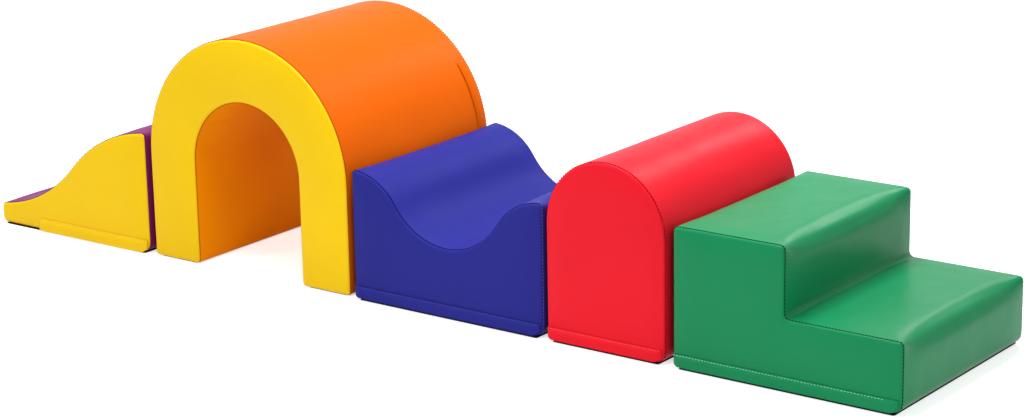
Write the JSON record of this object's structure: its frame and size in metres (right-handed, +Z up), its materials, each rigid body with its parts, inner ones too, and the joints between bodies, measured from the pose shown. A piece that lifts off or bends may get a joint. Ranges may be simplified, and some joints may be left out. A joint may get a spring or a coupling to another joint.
{
  "type": "soft play foam climber",
  "caption": "Row of sewn foam play blocks: a low slide, a crawl-through tunnel, a wave, a round-top bump and steps, with zips under cloth flaps.",
  "frame": {"origin": "on the floor, under the middle of the row's bounding box", "axes": "+X along the row from the slide's nose towards the steps, -Y towards the side with the zip flaps, +Z up"},
  "size_m": [2.8444, 0.6066, 0.629],
  "materials": {
    "yellow_cover": "satin",
    "purple_cover": "satin",
    "orange_cover": "satin",
    "orange_lining": "satin",
    "blue_cover": "satin",
    "red_cover": "satin",
    "green_cover": "satin",
    "black_base": "matte",
    "foam": "matte",
    "zip_tape": "matte",
    "zip_slider": "satin"
  },
  "bodies": {
    "tunnel_block": {"tunnel_foam_core": "foam", "tunnel_face_near": "yellow_cover", "tunnel_face_far": "yellow_cover", "tunnel_outer_wrap": "orange_cover", "tunnel_lining": "orange_lining", "tunnel_foot_base_left": "black_base", "tunnel_foot_base_right": "black_base", "tunnel_zip_tape": "zip_tape", "tunnel_zip_flap": "orange_cover"},
    "slide_block": {"slide_foam_core": "foam", "slide_side_near": "yellow_cover", "slide_side_far": "yellow_cover", "slide_wrap": "purple_cover", "slide_base": "black_base", "slide_zip_tape": "zip_tape"},
    "wave_block": {"wave_foam_core": "foam", "wave_side_near": "blue_cover", "wave_side_far": "blue_cover", "wave_wrap": "blue_cover", "wave_base": "black_base", "wave_zip_tape": "zip_tape"},
    "bump_block": {"bump_foam_core": "foam", "bump_side_near": "red_cover", "bump_side_far": "red_cover", "bump_wrap": "red_cover", "bump_base": "black_base", "bump_zip_tape": "zip_tape"},
    "steps_block": {"steps_foam_core": "foam", "steps_side_near": "green_cover", "steps_side_far": "green_cover", "steps_wrap": "green_cover", "steps_base": "black_base", "steps_zip_tape": "zip_tape"},
    "slide_flap": {"slide_zip_flap": "yellow_cover"},
    "slide_slider": {"slide_zip_slider": "zip_slider"},
    "wave_flap": {"wave_zip_flap": "blue_cover"},
    "wave_slider": {"wave_zip_slider": "zip_slider"},
    "bump_flap": {"bump_zip_flap": "red_cover"},
    "bump_slider": {"bump_zip_slider": "zip_slider"},
    "steps_flap": {"steps_zip_flap": "green_cover"},
    "steps_slider": {"steps_zip_slider": "zip_slider"},
    "tunnel_slider": {"tunnel_zip_slider": "zip_slider"}
  },
  "joints": [
    {"name": "slide_pull_away", "type": "slide", "parent": "tunnel_block", "child": "slide_block", "axis": [-1, 0, 0], "range_m": [0, 0.6]},
    {"name": "wave_pull_away", "type": "slide", "parent": "tunnel_block", "child": "wave_block", "axis": [1, 0, 0], "range_m": [0, 0.4]},
    {"name": "bump_pull_away", "type": "slide", "parent": "wave_block", "child": "bump_block", "axis": [1, 0, 0], "range_m": [0, 0.4]},
    {"name": "steps_pull_away", "type": "slide", "parent": "bump_block", "child": "steps_block", "axis": [1, 0, 0], "range_m": [0, 0.4]},
    {"name": "slide_flap_lift", "type": "hinge", "parent": "slide_block", "child": "slide_flap", "pos_m": [-1.2615, -0.29775, 0.0368], "axis": [-1, 0, 0], "range_deg": [0, 120]},
    {"name": "slide_zip_travel", "type": "slide", "parent": "slide_block", "child": "slide_slider", "axis": [-1, 0, 0], "range_m": [0, 0.37]},
    {"name": "wave_flap_lift", "type": "hinge", "parent": "wave_block", "child": "wave_flap", "pos_m": [-0.1265, -0.29775, 0.0368], "axis": [-1, 0, 0], "range_deg": [0, 120]},
    {"name": "wave_zip_travel", "type": "slide", "parent": "wave_block", "child": "wave_slider", "axis": [-1, 0, 0], "range_m": [0, 0.535]},
    {"name": "bump_flap_lift", "type": "hinge", "parent": "bump_block", "child": "bump_flap", "pos_m": [0.4715, -0.29775, 0.0368], "axis": [-1, 0, 0], "range_deg": [0, 120]},
    {"name": "bump_zip_travel", "type": "slide", "parent": "bump_block", "child": "bump_slider", "axis": [-1, 0, 0], "range_m": [0, 0.287]},
    {"name": "steps_flap_lift", "type": "hinge", "parent": "steps_block", "child": "steps_flap", "pos_m": [0.8305, -0.29775, 0.0368], "axis": [-1, 0, 0], "range_deg": [0, 120]},
    {"name": "steps_zip_travel", "type": "slide", "parent": "steps_block", "child": "steps_slider", "axis": [-1, 0, 0], "range_m": [0, 0.517]},
    {"name": "tunnel_zip_travel", "type": "slide", "parent": "tunnel_block", "child": "tunnel_slider", "axis": [0, 0, 1], "range_m": [0, 0.214]}
  ]
}
